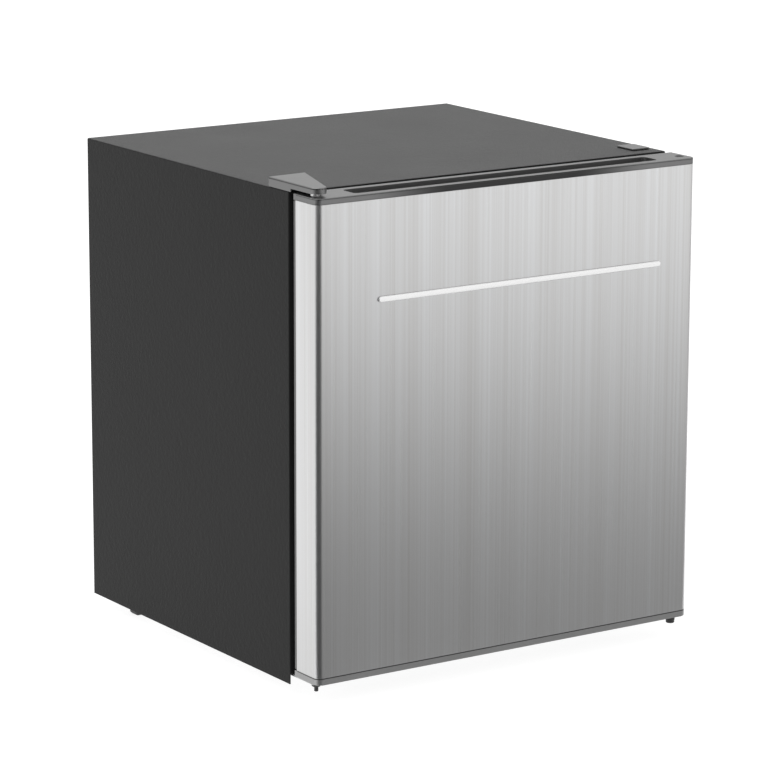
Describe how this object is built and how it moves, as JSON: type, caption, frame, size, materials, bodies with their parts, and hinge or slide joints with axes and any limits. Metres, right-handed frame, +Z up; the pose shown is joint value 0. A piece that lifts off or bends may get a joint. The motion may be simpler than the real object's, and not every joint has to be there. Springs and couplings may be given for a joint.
{
  "type": "mini fridge",
  "caption": "Cube refrigerator with a brushed steel door on side hinges, grip groove in the door cap, freezer box with flap, shelf, thermostat and rear condenser.",
  "frame": {"origin": "on the floor under the middle of the whole object, from the trim strip on the door to the spacers behind the condenser", "axes": "+Z up, -Y is the way the door faces, +X to the right of someone facing the door"},
  "size_m": [0.445, 0.461, 0.5025],
  "materials": {
    "dark_paint": "satin",
    "stainless": "satin",
    "bright_chrome": "polished",
    "grey_plastic": "satin",
    "white_plastic": "satin",
    "clear_plastic": "gloss",
    "rubber": "matte",
    "black_plastic": "matte",
    "zinc_steel": "satin",
    "aluminium": "satin",
    "black_paint": "satin",
    "copper": "satin",
    "foam": "matte",
    "glass": "gloss"
  },
  "bodies": {
    "cabinet": {"back_panel": "zinc_steel", "base_panel": "zinc_steel", "bottom_hinge_bracket": "zinc_steel", "bottom_hinge_pin": "black_paint", "bottom_hinge_screw_left": "zinc_steel", "bottom_hinge_screw_right": "zinc_steel", "cabinet_foam": "foam", "cabinet_shell": "dark_paint", "capillary_tube": "copper", "compressor": "black_paint", "compressor_bolt_front_left": "zinc_steel", "compressor_bolt_front_right": "zinc_steel", "compressor_bolt_rear_left": "zinc_steel", "compressor_bolt_rear_right": "zinc_steel", "compressor_mount_front_left": "rubber", "compressor_mount_front_right": "rubber", "compressor_mount_rear_left": "rubber", "compressor_mount_rear_right": "rubber", "compressor_tray": "zinc_steel", "condenser_bracket_bottom": "black_paint", "condenser_bracket_top": "black_paint", "condenser_coil": "black_paint", "condenser_screen_inner": "black_paint", "condenser_screen_outer": "black_paint", "cord_inlet": "black_plastic", "discharge_tube": "copper", "evaporator": "aluminium", "filter_drier": "copper", "freezer_frame": "white_plastic", "hinge_hole_plate": "grey_plastic", "inner_liner": "white_plastic", "lower_front_rail": "dark_paint", "rear_foot_left": "black_plastic", "rear_foot_right": "black_plastic", "relay_cover": "black_plastic", "right_foot_bracket": "zinc_steel", "suction_tube": "copper", "thermostat_bulb": "copper", "thermostat_housing": "white_plastic", "top_hinge_bracket": "zinc_steel", "top_hinge_cover": "grey_plastic", "top_hinge_pin": "bright_chrome", "top_hinge_screw_front": "zinc_steel", "top_hinge_screw_rear": "zinc_steel"},
    "door": {"door_skin": "stainless", "door_foam": "foam", "door_liner": "white_plastic", "door_gasket": "rubber", "door_top_cap": "grey_plastic", "door_bottom_cap": "grey_plastic", "door_trim_strip": "bright_chrome", "upper_door_rack": "clear_plastic", "lower_door_rack": "clear_plastic"},
    "freezer_flap": {"freezer_flap": "clear_plastic"},
    "thermostat_knob": {"thermostat_knob": "white_plastic"},
    "shelf": {"shelf_glass": "glass", "shelf_front_trim": "white_plastic"},
    "drip_tray": {"drip_tray": "clear_plastic"},
    "front_foot_left": {"front_foot_left": "black_plastic"},
    "front_foot_right": {"front_foot_right": "black_plastic"}
  },
  "joints": [
    {"name": "door_hinge", "type": "hinge", "parent": "cabinet", "child": "door", "pos_m": [-0.2138, -0.213, 0.25], "axis": [0, 0, -1], "range_deg": [0, 120]},
    {"name": "flap_hinge", "type": "hinge", "parent": "cabinet", "child": "freezer_flap", "pos_m": [-0.035, -0.079, 0.443], "axis": [-1, 0, 0], "range_deg": [0, 90]},
    {"name": "knob_turn", "type": "hinge", "parent": "cabinet", "child": "thermostat_knob", "pos_m": [0.14, -0.0553, 0.412], "axis": [0, 1, 0], "range_deg": [0, 270]},
    {"name": "shelf_slide", "type": "slide", "parent": "cabinet", "child": "shelf", "axis": [0, -1, 0], "range_m": [0, 0.075]},
    {"name": "drip_tray_slide", "type": "slide", "parent": "cabinet", "child": "drip_tray", "axis": [0, -1, 0], "range_m": [0, 0.08]},
    {"name": "foot_left_screw", "type": "slide", "parent": "cabinet", "child": "front_foot_left", "axis": [0, 0, -1], "range_m": [0, 0.012]},
    {"name": "foot_right_screw", "type": "slide", "parent": "cabinet", "child": "front_foot_right", "axis": [0, 0, -1], "range_m": [0, 0.012]}
  ]
}
